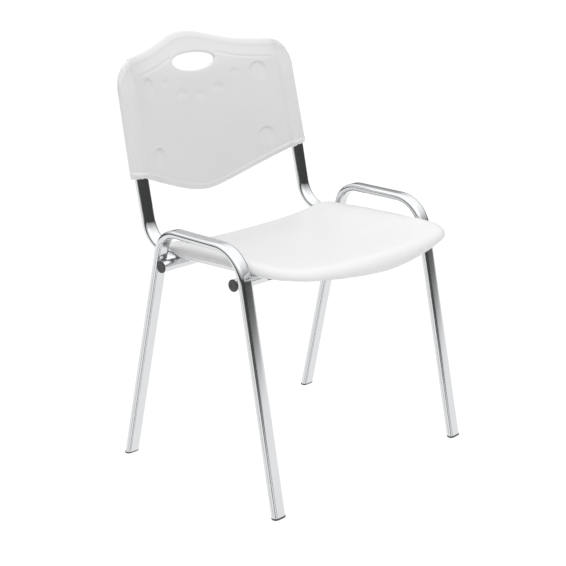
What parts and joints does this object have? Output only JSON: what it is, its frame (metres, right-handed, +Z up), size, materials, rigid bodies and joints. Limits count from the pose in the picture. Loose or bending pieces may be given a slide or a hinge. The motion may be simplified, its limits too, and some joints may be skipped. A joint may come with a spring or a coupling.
{
  "type": "stacking chair",
  "caption": "Stacking chair on a chromed flat-oval tube frame, with a white moulded seat shell and a curved moulded backrest with a handhold.",
  "frame": {"origin": "on the floor, at the middle of the chair's bounding box", "axes": "+Z up; the sitter faces -Y; +X towards the sitter's left"},
  "size_m": [0.546, 0.574, 0.818],
  "materials": {
    "chromed_tube": "bright chrome plating",
    "white_plastic": "moulded, semi-gloss",
    "black_plastic": "moulded, matt",
    "screw_steel": "zinc-plated"
  },
  "bodies": {
    "root": {"leg_frame_right": "chromed_tube", "leg_frame_left": "chromed_tube", "back_rail_right": "chromed_tube", "back_rail_left": "chromed_tube", "front_crossbar": "chromed_tube", "rear_crossbar": "chromed_tube", "front_bar_cap_right": "black_plastic", "front_bar_cap_left": "black_plastic", "rear_bar_cap_right": "black_plastic", "rear_bar_cap_left": "black_plastic", "foot_front_right": "black_plastic", "foot_front_left": "black_plastic", "foot_rear_right": "black_plastic", "foot_rear_left": "black_plastic", "rail_plug_right": "black_plastic", "rail_plug_left": "black_plastic", "upright_plug_right": "black_plastic", "upright_plug_left": "black_plastic", "seat_shell": "white_plastic", "seat_screws": "screw_steel", "backrest_shell": "white_plastic", "backrest_screws": "screw_steel"}
  },
  "joints": []
}
